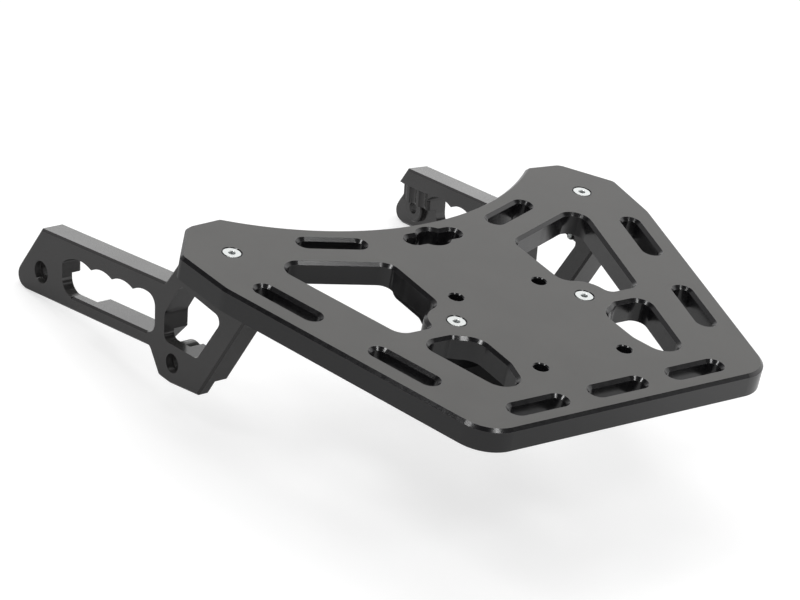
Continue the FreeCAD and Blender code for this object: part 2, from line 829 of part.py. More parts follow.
def bracket_bridge():
    """Flat bridge across the bracket that ends in a round ear under each rear screw."""
    top = -plate_thickness
    radius = bracket_ear_r
    right_rear = Vector(rear_screw_x, rear_screw_y - radius, top)
    right_tip = Vector(rear_screw_x + radius, rear_screw_y, top)
    right_front = Vector(rear_screw_x, rear_screw_y + radius, top)
    left_front = Vector(-rear_screw_x, rear_screw_y + radius, top)
    left_tip = Vector(-rear_screw_x - radius, rear_screw_y, top)
    left_rear = Vector(-rear_screw_x, rear_screw_y - radius, top)
    outline = Part.Wire([
        Part.makeLine(left_rear, right_rear),
        Part.Arc(right_rear, right_tip, right_front).toShape(),
        Part.makeLine(right_front, left_front),
        Part.Arc(left_front, left_tip, left_rear).toShape(),
    ])
    return slab(outline, Vector(0, 0, -bracket_ear_thickness))


def bracket_holes():
    """Tapped holes for the rear screws and cross bolt holes through both cheeks."""
    holes = []
    tap_r = screw_d / 2.0 + thread_gap
    for side in (-1, 1):
        mouth = Vector(side * rear_screw_x, rear_screw_y, -plate_thickness + overrun)
        length = bracket_ear_thickness + 2 * overrun
        holes.append(Part.makeCylinder(tap_r, length, mouth, Vector(0, 0, -1)))
    for step in (0, 1):
        y = bracket_bolt_first_y + step * bracket_bolt_pitch
        mouth = Vector(-bracket_half_width - overrun, y, bracket_bolt_z)
        length = 2 * (bracket_half_width + overrun)
        holes.append(Part.makeCylinder(bracket_bolt_d / 2.0, length, mouth, Vector(1, 0, 0)))
    return holes


def centre_bracket():
    """Bracket under the plate: a web, two cheeks and two ears for the rear screws."""
    cheek = bracket_cheek()
    half_web = bracket_half_width - bracket_cheek_thickness / 2.0
    web = Part.makeBox(
        2 * half_web,
        bracket_web_front_y - bracket_web_rear_y,
        bracket_web_thickness,
        Vector(-half_web, bracket_web_rear_y, -plate_thickness - bracket_web_thickness),
    )
    bracket = cheek.fuse([mirrored(cheek), web, bracket_bridge()]).removeSplitter()
    roots = []
    for side in (-1, 1):
        for end in (-1, 1):
            y = rear_screw_y + end * bracket_ear_r
            roots += upright_edges(bracket, side * bracket_half_width, y, on_plate)
    bracket = bracket.makeFillet(bracket_ear_root_r, roots)
    return bracket.cut(bracket_holes())


def main():
    os.makedirs("parts", exist_ok=True)
    arm = right_arm()
    parts = {
        "top_plate": top_plate(),
        "right_arm": arm,
        "left_arm": mirrored(arm),
        "centre_bracket": centre_bracket(),
    }
    for name, side in (("left", -1), ("right", 1)):
        parts["front_" + name + "_screw"] = countersunk_screw(
            front_screw_length, side * front_screw_x, front_screw_y
        )
        parts["rear_" + name + "_screw"] = countersunk_screw(
            rear_screw_length, side * rear_screw_x, rear_screw_y
        )
    for name, shape in parts.items():
        shape.exportStep("parts/" + name + ".step")
        print(name, shape.isValid(), len(shape.Solids), round(shape.Volume, 1))


main()
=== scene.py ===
"""Looks of a motorcycle luggage rack: anodised plate and arms, zinc screws, plain studio."""

import json
import logging
import math
from collections.abc import Callable, Sequence
from dataclasses import dataclass
from enum import Enum

import bmesh
import bpy
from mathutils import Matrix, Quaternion, Vector


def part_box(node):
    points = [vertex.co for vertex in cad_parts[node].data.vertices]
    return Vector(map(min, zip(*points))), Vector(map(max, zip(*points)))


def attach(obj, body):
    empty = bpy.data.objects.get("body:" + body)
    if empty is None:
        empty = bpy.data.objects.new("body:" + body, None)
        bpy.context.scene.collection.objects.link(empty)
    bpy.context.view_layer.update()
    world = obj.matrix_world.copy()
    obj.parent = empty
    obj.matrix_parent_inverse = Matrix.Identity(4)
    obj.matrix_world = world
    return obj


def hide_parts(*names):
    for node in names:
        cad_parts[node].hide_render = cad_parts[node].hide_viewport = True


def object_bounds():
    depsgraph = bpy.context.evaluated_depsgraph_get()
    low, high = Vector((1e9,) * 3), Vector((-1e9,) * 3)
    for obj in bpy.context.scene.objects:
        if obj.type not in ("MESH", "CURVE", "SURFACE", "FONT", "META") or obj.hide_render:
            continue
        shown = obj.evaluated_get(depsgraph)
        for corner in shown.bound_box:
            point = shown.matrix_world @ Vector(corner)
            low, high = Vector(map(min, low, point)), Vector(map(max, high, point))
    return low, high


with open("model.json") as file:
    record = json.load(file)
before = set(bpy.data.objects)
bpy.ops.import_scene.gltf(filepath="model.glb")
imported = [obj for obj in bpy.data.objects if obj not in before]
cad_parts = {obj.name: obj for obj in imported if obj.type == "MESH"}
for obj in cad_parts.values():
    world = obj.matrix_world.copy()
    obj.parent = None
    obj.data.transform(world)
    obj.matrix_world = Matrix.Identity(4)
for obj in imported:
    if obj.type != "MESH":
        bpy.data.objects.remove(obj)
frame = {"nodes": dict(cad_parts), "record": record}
CAD_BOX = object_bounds()

MM = 0.001
ROOT = "root"
LOG = logging.getLogger("luggage_rack")

Range = tuple[float, float]
Colour = tuple[float, float, float]
Point = tuple[float, float, float]
Socket = bpy.types.NodeSocket
Input = Socket | float | Point
Ring = list[Vector]
Verts = list[bmesh.types.BMVert]

# Results that rise or fall over a range.
RISING: Range = (0.0, 1.0)
FALLING: Range = (1.0, 0.0)

# Noise seldom comes near 0 or 1, so finishes use these parts of its range.
NOISE_CORE: Range = (0.3, 0.7)
NOISE_MOST: Range = (0.25, 0.75)
NOISE_WIDE: Range = (0.2, 0.8)

# Places of the colour sockets among all the sockets of a mix node.
MIX_SHARE = 0
MIX_FIRST = 6
MIX_SECOND = 7
MIX_RESULT = 2

# Corners of the thread's section: pitches along the axis, and share of the full height.
THREAD_PROFILE: tuple[Range, ...] = ((-0.44, -0.03), (-0.07, 1.0), (0.07, 1.0), (0.44, -0.03))


class Slot(Enum):
    """Material slot of the record meant for the screws; nothing in this script uses it."""

    SCREW = "zinc_screw"


class Side(Enum):
    """Side of the bike that a piece belongs to, as its name says."""

    LEFT = "left"
    RIGHT = "right"


class End(Enum):
    """End of the plate or of an arm, as the names of screws and mounts say."""

    FRONT = "front"
    REAR = "rear"


class Graph:
    """A shader node tree with short calls that add nodes and join them."""

    def __init__(self, tree: bpy.types.NodeTree) -> None:
        """Take over the tree that gets the nodes."""
        self.tree = tree

    def add(self, kind: str, settings: dict[str, object] | None = None,
            **inputs: Input) -> bpy.types.Node:
        """Add a node and fill its inputs.

        Args:
            kind: Blender's name of the node type.
            settings: Properties of the node itself.
            **inputs: Value or socket for each input, spaces written as underscores.

        Returns:
            The new node.
        """
        node = self.tree.nodes.new(kind)
        for key, value in (settings or {}).items():
            setattr(node, key, value)
        for key, value in inputs.items():
            self.put(node.inputs[key.replace("_", " ")], value)
        return node

    def put(self, socket: Socket, value: Input) -> None:
        """Link a socket to another one, or set its value.

        Args:
            socket: The input to fill.
            value: An output socket, a number, or a tuple of numbers.
        """
        if isinstance(value, Socket):
            self.tree.links.new(value, socket)
        else:
            socket.default_value = value

    def math(self, operation: str, first: Input, second: Input = 0.0) -> Socket:
        """Combine two numbers.

        Args:
            operation: Blender's name of the operation, such as MAXIMUM.
            first: First number or socket.
            second: Second number or socket.

        Returns:
            The socket of the result.
        """
        node = self.add("ShaderNodeMath", {"operation": operation})
        self.put(node.inputs[0], first)
        self.put(node.inputs[1], second)
        return node.outputs[0]

    def times(self, first: Input, second: Input) -> Socket:
        """Product of two numbers."""
        return self.math("MULTIPLY", first, second)

    def plus(self, first: Input, second: Input) -> Socket:
        """Sum of two numbers."""
        return self.math("ADD", first, second)

    def rest(self, share: Input) -> Socket:
        """What a share leaves of the whole."""
        return self.math("SUBTRACT", 1.0, share)

    def wave(self, length: Input, pitch: float) -> Socket:
        """Sine wave along a length, with a hump at every pitch."""
        return self.math("SINE", self.times(length, math.tau / pitch))

    def vector(self, operation: str, first: Input, second: Input | None = None,
               out: str = "Vector") -> Socket:
        """Combine two vectors.

        Args:
            operation: Blender's name of the operation, such as CROSS_PRODUCT.
            first: First vector or socket.
            second: Second vector or socket, where the operation takes one.
            out: Name of the output to use, Vector or Value.

        Returns:
            The socket of the result.
        """
        node = self.add("ShaderNodeVectorMath", {"operation": operation})
        self.put(node.inputs[0], first)
        if second is not None:
            self.put(node.inputs[1], second)
        return node.outputs[out]

    def part(self, vector: Input, axis: str) -> Socket:
        """One part of a vector, by the name of its axis."""
        return self.add("ShaderNodeSeparateXYZ", None, Vector=vector).outputs[axis]

    def spread(self, value: Input, given: Range, wanted: Range = RISING) -> Socket:
        """Carry a range of values over to another one, smoothly and held at its ends.

        Args:
            value: The number to carry over.
            given: The two ends of its range.
            wanted: The results at these two ends.

        Returns:
            The socket of the result.
        """
        node = self.add("ShaderNodeMapRange", {"interpolation_type": "SMOOTHSTEP"})
        names = ("Value", "From Min", "From Max", "To Min", "To Max")
        for name, number in zip(names, (value, *given, *wanted)):
            self.put(node.inputs[name], number)
        return node.outputs[0]

    def blend(self, share: Input, first: Input, second: Input) -> Socket:
        """Mix two colours.

        Args:
            share: Share of the second colour, 0 to 1.
            first: First colour or socket.
            second: Second colour or socket.

        Returns:
            The socket of the mixed colour.
        """
        node = self.add("ShaderNodeMix", {"data_type": "RGBA"})
        self.put(node.inputs[MIX_SHARE], share)
        for place, colour in ((MIX_FIRST, first), (MIX_SECOND, second)):
            self.put(node.inputs[place], colour if isinstance(colour, Socket) else (*colour, 1.0))
        return node.outputs[MIX_RESULT]

    def scaled(self, colour: Input, factor: Input) -> Socket:
        """Make a colour lighter or darker.

        Args:
            colour: Colour or socket.
            factor: What its parts are multiplied by.

        Returns:
            The socket of the new colour.
        """
        node = self.add("ShaderNodeVectorMath", {"operation": "SCALE"}, Scale=factor)
        self.put(node.inputs[0], colour)
        return node.outputs[0]

    def noise(self, place: Input, per_metre: float, detail: float = 3.0) -> Socket:
        """Even noise, 0 to 1, by its humps in a metre and its number of finer layers."""
        node = self.add("ShaderNodeTexNoise", None, Vector=place, Scale=per_metre, Detail=detail)
        return node.outputs[0]

    def stretched(self, place: Input, scale: Point) -> Socket:
        """Coordinates stretched or squeezed along the three axes."""
        node = self.add("ShaderNodeMapping", {"vector_type": "POINT"}, Vector=place, Scale=scale)
        return node.outputs[0]

    def bump(self, height: Input, depth: float, normal: Socket | None = None) -> Socket:
        """Turn a height into the normal of a fine relief.

        Args:
            height: Height, 0 to 1 for most of the surface.
            depth: Depth of the relief in metres.
            normal: Normal that the relief starts from, where it isn't the surface's own.

        Returns:
            The socket of the normal.
        """
        node = self.add("ShaderNodeBump", None, Strength=1.0, Distance=depth, Height=height)
        if normal is not None:
            self.put(node.inputs["Normal"], normal)
        return node.outputs[0]


@dataclass(frozen=True)
class BoltSeat:
    """A bolt hole with ridges down its bore and fine tool rings across its seat.

    Attributes:
        point: A point on the hole's axis.
        axis: Direction of the axis.
        reach: Distance from the axis up to which the relief goes.
        pitch: Distance from one ridge or ring to the next.
        ridge: Height of the ridges, in depths of the finish's relief.
        ring: Height of the rings, in the same measure.
        border: Width over which the relief fades at its reach.
    """

    point: Point
    axis: Point
    reach: float
    pitch: float = 1.0 * MM
    ridge: float = 45.0
    ring: float = 2.0
    border: float = 0.1 * MM

    def height(self, graph: Graph, place: Socket) -> Socket:
        """Height of the ridges down the bore and of the rings across its seat.

        Args:
            graph: Node tree that gets the nodes.
            place: Coordinates in metres.

        Returns:
            The socket of the height, 0 outside the seat.
        """
        offset = graph.vector("SUBTRACT", place, self.point)
        depth = graph.vector("DOT_PRODUCT", offset, self.axis, "Value")
        across = graph.vector("CROSS_PRODUCT", offset, self.axis)
        distance = graph.vector("LENGTH", across, out="Value")
        ridges = graph.times(graph.wave(depth, self.pitch), self.ridge)
        rings = graph.times(graph.wave(distance, self.pitch), self.ring)
        inside = graph.spread(distance, (self.reach, self.reach + self.border), FALLING)
        return graph.times(graph.plus(ridges, rings), inside)


@dataclass(frozen=True)
class Surface:
    """Sockets that colour, roughness and relief of an anodised finish share.

    Attributes:
        place: Coordinates in metres.
        normal: Surface normal.
        edge_normal: Normal with its edges rounded.
        upward: Share of the deck, 1 on faces that look up and 0 on walls.
        grain: Fine grain.
        mottle: Slow variation.
        streak: Streaks down the milled walls.
    """

    place: Socket
    normal: Socket
    edge_normal: Socket
    upward: Socket
    grain: Socket
    mottle: Socket
    streak: Socket


@dataclass(frozen=True)
class AnodisedFinish:
    """Satin black anodised aluminium with a blasted grain and milled walls, a deck painted lighter
    as lit from above, walls painted darker as shaded, and a painted highlight along the edges.

    Attributes:
        name: Name of the material.
        lit_deck_colour: Colour of the faces that look up, painted lighter for the light that falls
            on them from above.
        shaded_wall_colour: Colour of all other faces, painted darker as shade.
        edge_highlight_colour: Colour of the painted highlight along the edges.
        roughness: Roughness of the faces that look up.
        wall_roughness: Roughness of all other faces.
        ior: Index of refraction of the oxide, which sets the sheen.
        facing: Upward part of the normal, from a wall to the deck.
        grain_per_metre: Humps of the fine grain in a metre.
        grain_tone: How much the grain darkens and lightens.
        grain_swing: What the grain adds to the deck's roughness.
        wall_grain: Height of the grain on the walls, as a share of the deck's.
        mottle_per_metre: Humps of the slow variation in a metre.
        mottle_tone: How much it darkens and lightens.
        mottle_swing: What it adds to the roughness.
        streak_per_metre: Streaks of the cutter in a metre.
        streak_stretch: Scale of the streaks along the three axes.
        streak_height: Height of the streaks, as a share of the grain's.
        streak_swing: What the streaks add to the walls' roughness.
        edge_radius: Radius that rounds the edges of the shading.
        edge_highlight_turn: Agreement of the two normals, from a flat face to an edge with the
            painted highlight.
        edge_highlight_share: Share of the painted highlight's colour over that range.
        bump_depth: Depth of the relief.
        seats: Bolt holes with a relief of their own.
    """

    name: str
    lit_deck_colour: Colour
    shaded_wall_colour: Colour
    edge_highlight_colour: Colour
    roughness: float = 0.31
    wall_roughness: float = 0.20
    ior: float = 1.66
    facing: Range = (0.80, 0.97)
    grain_per_metre: float = 1700.0
    grain_tone: Range = (0.90, 1.10)
    grain_swing: Range = (-0.03, 0.05)
    wall_grain: float = 0.3
    mottle_per_metre: float = 26.0
    mottle_tone: Range = (0.93, 1.07)
    mottle_swing: Range = (-0.015, 0.015)
    streak_per_metre: float = 240.0
    streak_stretch: Point = (1.0, 1.0, 0.02)
    streak_height: float = 0.12
    streak_swing: Range = (-0.025, 0.025)
    edge_radius: float = 0.20 * MM
    edge_highlight_turn: Range = (0.995, 0.90)
    edge_highlight_share: Range = (0.0, 0.40)
    bump_depth: float = 0.0030 * MM
    seats: tuple[BoltSeat, ...] = ()

    def build(self) -> bpy.types.Material:
        """Make the material.

        Returns:
            The finished material.
        """
        material = new_material(self.name)
        graph = Graph(material.node_tree)
        surface = self.surface(graph)
        shader = material.node_tree.nodes["Principled BSDF"]
        graph.put(shader.inputs["Base Color"], self.colour(graph, surface))
        graph.put(shader.inputs["Roughness"], self.rough(graph, surface))
        graph.put(shader.inputs["Normal"], self.relief(graph, surface))
        shader.inputs["Metallic"].default_value = 0.0
        shader.inputs["IOR"].default_value = self.ior
        return material

    def surface(self, graph: Graph) -> Surface:
        """Coordinates, normals and noises that the rest of the finish uses.

        Args:
            graph: Node tree that gets the nodes.

        Returns:
            Their sockets.
        """
        place = graph.add("ShaderNodeTexCoord").outputs["Object"]
        normal = graph.add("ShaderNodeNewGeometry").outputs["Normal"]
        bevel = graph.add("ShaderNodeBevel", {"samples": 4}, Radius=self.edge_radius)
        drawn_out = graph.stretched(place, self.streak_stretch)
        return Surface(
            place=place,
            normal=normal,
            edge_normal=bevel.outputs[0],
            upward=graph.spread(graph.part(normal, "Z"), self.facing),
            grain=graph.noise(place, self.grain_per_metre),
            mottle=graph.noise(place, self.mottle_per_metre, detail=5.0),
            streak=graph.noise(drawn_out, self.streak_per_metre, detail=2.0),
        )

    def colour(self, graph: Graph, surface: Surface) -> Socket:
        """Colour of the oxide layer, with painted light: a lighter deck, darker walls and a
        painted highlight along the edges.

        Args:
            graph: Node tree that gets the nodes.
            surface: Sockets of the surface.

        Returns:
            The socket of the colour.
        """
        # Painted light and shade: faces that look up take the lighter deck colour, walls the
        # darker one.
        plain = graph.blend(surface.upward, self.shaded_wall_colour, self.lit_deck_colour)
        shade = graph.spread(surface.mottle, NOISE_CORE, self.mottle_tone)
        speck = graph.spread(surface.grain, NOISE_MOST, self.grain_tone)
        toned = graph.scaled(plain, graph.times(shade, speck))
        # Painted highlight: edges, where the rounded normal turns from the true one, get a lighter
        # colour.
        turn = graph.vector("DOT_PRODUCT", surface.normal, surface.edge_normal, "Value")
        edge_highlight = graph.times(graph.spread(turn, self.edge_highlight_turn, self.edge_highlight_share), shade)
        return graph.blend(edge_highlight, toned, self.edge_highlight_colour)

    def rough(self, graph: Graph, surface: Surface) -> Socket:
        """Roughness of the blasted deck and of the smoother, milled walls.

        Args:
            graph: Node tree that gets the nodes.
            surface: Sockets of the surface.

        Returns:
            The socket of the roughness.
        """
        deck_ends = around(self.roughness, self.grain_swing)
        wall_ends = around(self.wall_roughness, self.streak_swing)
        blasted = graph.spread(surface.grain, NOISE_WIDE, deck_ends)
        milled = graph.spread(surface.streak, NOISE_CORE, wall_ends)
        wall_part = graph.times(milled, graph.rest(surface.upward))
        both = graph.plus(wall_part, graph.times(blasted, surface.upward))
        return graph.plus(both, graph.spread(surface.mottle, NOISE_CORE, self.mottle_swing))

    def relief(self, graph: Graph, surface: Surface) -> Socket:
        """Fine relief: blasted grain, milled streaks and turned bolt seats.

        Args:
            graph: Node tree that gets the nodes.
            surface: Sockets of the surface.

        Returns:
            The socket of the normal.
        """
        gain = graph.times(surface.upward, 1.0 - self.wall_grain)
        blasted = graph.times(surface.grain, graph.plus(gain, self.wall_grain))
        milled = graph.times(graph.rest(surface.upward), self.streak_height)
        height = graph.plus(blasted, graph.times(surface.streak, milled))
        for seat in self.seats:
            height = graph.plus(height, seat.height(graph, surface.place))
        return graph.bump(height, self.bump_depth, surface.edge_normal)


@dataclass(frozen=True)
class ZincFinish:
    """Bright zinc plate over turned steel, rougher down in the socket, where painted shade greys
    it.

    Attributes:
        name: Name of the material.
        colour: Colour of the bright plate.
        cloud_colour: Colour of its faint clouds.
        cloud_share: Share of the clouds' colour, least and most.
        cloud_per_metre: Clouds in a metre.
        socket_shade_colour: Grey of the painted shade down in the socket.
        hollow_depth: Heights between which the hollow begins.
        hollow_reach: Distances from the axis between which it ends.
        hollow_roughness: What the hollow adds to the roughness.
        roughness: Roughness of the bright plate.
        spangle_per_metre: Humps of the plate's fine grain in a metre.
        spangle_swing: What the grain adds to the roughness.
        ring_pitch: Distance between the rings that turning leaves.
        ring_height: Height of the rings, as a share of the grain's.
        bump_depth: Depth of the relief.
    """

    name: str = "zinc_plate"
    colour: Colour = (0.93, 0.955, 0.94)
    cloud_colour: Colour = (0.85, 0.90, 0.91)
    cloud_share: Range = (0.0, 0.35)
    cloud_per_metre: float = 380.0
    # Painted shade: grey for the socket's hollow.
    socket_shade_colour: Colour = (0.66, 0.68, 0.68)
    hollow_depth: Range = (-0.25 * MM, -0.9 * MM)
    hollow_reach: Range = (2.45 * MM, 2.55 * MM)
    hollow_roughness: float = 0.25
    roughness: float = 0.17
    spangle_per_metre: float = 2100.0
    spangle_swing: Range = (-0.06, 0.07)
    ring_pitch: float = 0.22 * MM
    ring_height: float = 0.5
    bump_depth: float = 0.0018 * MM

    def build(self) -> bpy.types.Material:
        """Make the material.

        Returns:
            The finished material.
        """
        material = new_material(self.name)
        graph = Graph(material.node_tree)
        place = graph.add("ShaderNodeTexCoord").outputs["Object"]
        level = graph.stretched(place, (1.0, 1.0, 0.0))
        distance = graph.vector("LENGTH", level, out="Value")
        spangle = graph.noise(place, self.spangle_per_metre, detail=4.0)
        sunk = graph.spread(graph.part(place, "Z"), self.hollow_depth)
        hollow = graph.times(sunk, graph.spread(distance, self.hollow_reach, FALLING))
        plated = graph.spread(spangle, NOISE_MOST, around(self.roughness, self.spangle_swing))
        rough = graph.plus(plated, graph.times(hollow, self.hollow_roughness))
        rings = graph.times(graph.wave(distance, self.ring_pitch), self.ring_height)
        relief = graph.bump(graph.plus(rings, spangle), self.bump_depth)
        shader = material.node_tree.nodes["Principled BSDF"]
        graph.put(shader.inputs["Base Color"], self.plate_colour(graph, place, hollow))
        graph.put(shader.inputs["Roughness"], rough)
        graph.put(shader.inputs["Normal"], relief)
        shader.inputs["Metallic"].default_value = 1.0
        return material

    def plate_colour(self, graph: Graph, place: Socket, hollow: Socket) -> Socket:
        """Colour of the plate, faintly clouded, and greyer in the socket as painted shade.

        Args:
            graph: Node tree that gets the nodes.
            place: Coordinates in metres.
            hollow: Share of the socket's hollow.

        Returns:
            The socket of the colour.
        """
        cloud = graph.noise(place, self.cloud_per_metre)
        share = graph.spread(cloud, NOISE_CORE, self.cloud_share)
        bright = graph.blend(share, self.colour, self.cloud_colour)
        # Painted shade: the socket's hollow turns grey.
        return graph.blend(hollow, bright, self.socket_shade_colour)


class MeshMaker:
    """Collects rings of points and turns them into one smooth-shaded object."""

    def __init__(self) -> None:
        """Start with an empty mesh."""
        self.mesh = bmesh.new()

    def ring(self, points: Sequence[Vector]) -> Verts:
        """Add a ring of points."""
        return [self.mesh.verts.new(point) for point in points]

    def bridge(self, lower: Verts, upper: Verts, closed: bool = True) -> None:
        """Join two rings of the same count by a band of faces.

        Args:
            lower: First ring.
            upper: Second ring.
            closed: Whether the band closes on itself.
        """
        count = len(lower)
        for index in range(count if closed else count - 1):
            after = (index + 1) % count
            self.mesh.faces.new((lower[index], lower[after], upper[after], upper[index]))

    def cap(self, ring: Verts, centre: Vector) -> None:
        """Close a ring by a fan about one point.

        Args:
            ring: The ring to close.
            centre: The middle of the fan.
        """
        middle = self.mesh.verts.new(centre)
        for index, vertex in enumerate(ring):
            self.mesh.faces.new((vertex, ring[(index + 1) % len(ring)], middle))

    def finish(self, name: str, sharp_above: float = 32.0) -> bpy.types.Object:
        """Turn what was collected into an object.

        Args:
            name: Name of the object and its mesh.
            sharp_above: Angle in degrees above which an edge stays sharp.

        Returns:
            The new object, linked to the scene.
        """
        bmesh.ops.recalc_face_normals(self.mesh, faces=self.mesh.faces)
        data = bpy.data.meshes.new(name)
        self.mesh.to_mesh(data)
        self.mesh.free()
        data.shade_smooth()
        data.set_sharp_from_angle(angle=math.radians(sharp_above))
        piece = bpy.data.objects.new(name, data)
        bpy.context.scene.collection.objects.link(piece)
        return piece


@dataclass
class CountersunkScrew:
    """Countersunk machine screw with a hexagon socket and a rolled thread.

    Heights are measured from the flat top of the head, downwards below 0.

    Attributes:
        node: Name of the plain solid that the screw stands in for.
        finish: Its material.
        head_radius: Radius of the head.
        head_land: Height of the head's plain rim, above its cone.
        rim_width: Width and height of the broken edge of the rim.
        rim_corner: Share of them at the edge's middle.
        flat_margin: Width of the narrow rings beside the edges, which keep the top flat.
        cone_end: Radius over the shank's at which the cone ends.
        socket_across: Width of the socket across its flats.
        socket_depth: Depth of the socket's floor.
        floor_share: Radius of the floor, as a share of that width.
        floor_slope: Height of the slope from the floor to the walls.
        drill_depth: Depth of the drill's point below the floor.
        wall_top: Depth at which the flat walls end.
        bevel_depth: Depth of the bevel round the socket's mouth.
        bevel_width: Width of that bevel.
        mouth_radius: Radius of the mouth at the top.
        shank_radius: Radius at the crest of the thread.
        root_radius: Radius at the root of the thread.
        neck: Length of the plain neck above the thread.
        neck_round: Height of the round under the cone.
        pitch: Pitch of the thread.
        crest_gap: How far the crest stays inside the shank's radius.
        run_in: Turns over which the thread rises under the head.
        run_out: Turns over which it falls at the tip.
        tip_bevel: Width and height of the bevel at the tip.
        tip_dish: Depth of the dish in the tip.
        segments: Number of points in a ring.
        thread_segments: Number of points in a turn of the thread.
    """

    node: str
    finish: bpy.types.Material
    head_radius: float = 5.68 * MM
    head_land: float = 0.70 * MM
    rim_width: float = 0.20 * MM
    rim_corner: float = 0.3
    flat_margin: float = 0.10 * MM
    cone_end: float = 0.25 * MM
    socket_across: float = 4.0 * MM
    socket_depth: float = 2.6 * MM
    floor_share: float = 0.42
    floor_slope: float = 0.15 * MM
    drill_depth: float = 0.5 * MM
    wall_top: float = 0.42 * MM
    bevel_depth: float = 0.25 * MM
    bevel_width: float = 0.24 * MM
    mouth_radius: float = 2.36 * MM
    shank_radius: float = 3.0 * MM
    root_radius: float = 2.42 * MM
    neck: float = 1.2 * MM
    neck_round: float = 0.35 * MM
    pitch: float = 1.0 * MM
    crest_gap: float = 0.01 * MM
    run_in: float = 0.6
    run_out: float = 1.2
    tip_bevel: float = 0.35 * MM
    tip_dish: float = 0.1 * MM
    segments: int = 60
    thread_segments: int = 36

    def circle(self, radius: float, height: float) -> Ring:
        """Points of a level circle about the screw's axis."""
        return self.loop(lambda turn: radius, height)

    def loop(self, reach: Callable[[float], float], height: float) -> Ring:
        """Points of a level loop about the axis.

        Args:
            reach: Radius for each angle in radians.
            height: Height of the loop.

        Returns:
            Its points.
        """
        points = []
        for step in range(self.segments):
            turn = math.tau * step / self.segments
            points.append(round_the_axis(reach(turn), turn, height))
        return points

    def hexagon(self, turn: float) -> float:
        """Distance from the axis to the wall of the socket at one angle."""
        sector = math.radians(60.0)
        return self.socket_across / 2.0 / math.cos((turn % sector) - sector / 2.0)

    def bevelled(self, turn: float) -> float:
        """Distance from the axis to the foot of the mouth's bevel at one angle."""
        return max(self.hexagon(turn), self.mouth_radius - self.bevel_width)

    def cone_depth(self) -> float:
        """Depth of the foot of the head's cone below the head's top."""
        return self.head_land + self.head_radius - self.shank_radius

    def head(self, maker: MeshMaker) -> Verts:
        """Head with its socket, from the socket's floor out and down to the neck.

        Args:
            maker: Mesh that gets the faces.

        Returns:
            The ring at the top of the neck.
        """
        top = 0.0
        floor = top - self.socket_depth
        cone_foot = top - self.cone_depth()
        flat_end = self.head_radius - self.rim_width
        corner = self.rim_corner * self.rim_width
        levels = (
            self.circle(self.socket_across * self.floor_share, floor),
            self.loop(self.hexagon, floor + self.floor_slope),
            self.loop(self.hexagon, top - self.wall_top),
            self.loop(self.bevelled, top - self.bevel_depth),
            self.circle(self.mouth_radius, top),
            self.circle(self.mouth_radius + self.flat_margin, top),
            self.circle(flat_end - self.flat_margin, top),
            self.circle(flat_end, top),
            self.circle(self.head_radius - corner, top - corner),
            self.circle(self.head_radius, top - self.rim_width),
            self.circle(self.head_radius, top - self.head_land),
            self.circle(self.shank_radius + self.cone_end, cone_foot + self.cone_end),
            self.circle(self.root_radius, cone_foot - self.neck_round),
        )
        rings = [maker.ring(points) for points in levels]
        maker.cap(rings[0], Vector((0.0, 0.0, floor - self.drill_depth)))
        for lower, upper in zip(rings, rings[1:]):
            maker.bridge(lower, upper)
        return rings[-1]

    def shank(self, maker: MeshMaker, neck_ring: Verts, tip: float) -> None:
        """Plain core of the shank down to its bevelled tip.

        Args:
            maker: Mesh that gets the faces.
            neck_ring: Ring at the top of the neck.
            tip: Height of the tip.
        """
        low = maker.ring(self.circle(self.root_radius, tip + self.tip_bevel))
        end = maker.ring(self.circle(self.root_radius - self.tip_bevel, tip))
        maker.bridge(neck_ring, low)
        maker.bridge(low, end)
        maker.cap(end, Vector((0.0, 0.0, tip + self.tip_dish)))

    def thread(self, maker: MeshMaker, start: float, end: float) -> None:
        """Helical ridge of the thread, which runs out at both ends.

        Args:
            maker: Mesh that gets the faces.
            start: Height at which the ridge begins, under the head.
            end: Height at which it ends, above the tip.
        """
        per_turn = self.thread_segments
        steps = int((start - end) / self.pitch * per_turn)
        tall = self.shank_radius - self.crest_gap - self.root_radius
        before: Verts = []
        for step in range(steps + 1):
            turn = math.tau * step / per_turn
            height = start - (start - end) * step / steps
            rising = step / (self.run_in * per_turn)
            falling = (steps - step) / (self.run_out * per_turn)
            fade = min(1.0, rising, falling)
            section = []
            for along, rise in THREAD_PROFILE:
                radius = self.root_radius + tall * (rise if rise < 0.0 else rise * fade)
                section.append(round_the_axis(radius, turn, height + along * self.pitch))
            current = maker.ring(section)
            if before:
                maker.bridge(before, current, closed=False)
            before = current

    def build(self) -> bpy.types.Object:
        """Make the screw in the place of its plain solid.

        Returns:
            The finished screw.
        """
        low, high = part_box(self.node)
        middle = (low + high) / 2.0
        tip = low.z - high.z
        maker = MeshMaker()
        neck_ring = self.head(maker)
        self.shank(maker, neck_ring, tip)
        self.thread(maker, -self.cone_depth() - self.neck, tip + self.pitch / 2.0)
        piece = maker.finish(self.node + "_detailed")
        piece.location = (middle.x, middle.y, high.z)
        piece.data.materials.append(self.finish)
        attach(piece, ROOT)
        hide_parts(self.node)
        return piece


@dataclass
class LuggagePlate:
    """The flat luggage plate.

    Attributes:
        node: Name of its solid.
        finish: Its finish.
    """

    node: str = "top_plate"
    finish: AnodisedFinish = AnodisedFinish(
        name="plate_satin_black",
        # Painted light and shade: the deck is ten times lighter than the walls.
        lit_deck_colour=(0.0850, 0.0835, 0.0794),
        shaded_wall_colour=(0.0085, 0.0083, 0.0092),
        # Painted highlight along the edges.
        edge_highlight_colour=(0.09, 0.09, 0.09),
    )

    def dress(self) -> bpy.types.Object:
        """Give the plate its finish."""
        return dress_node(self.node, self.finish.build())


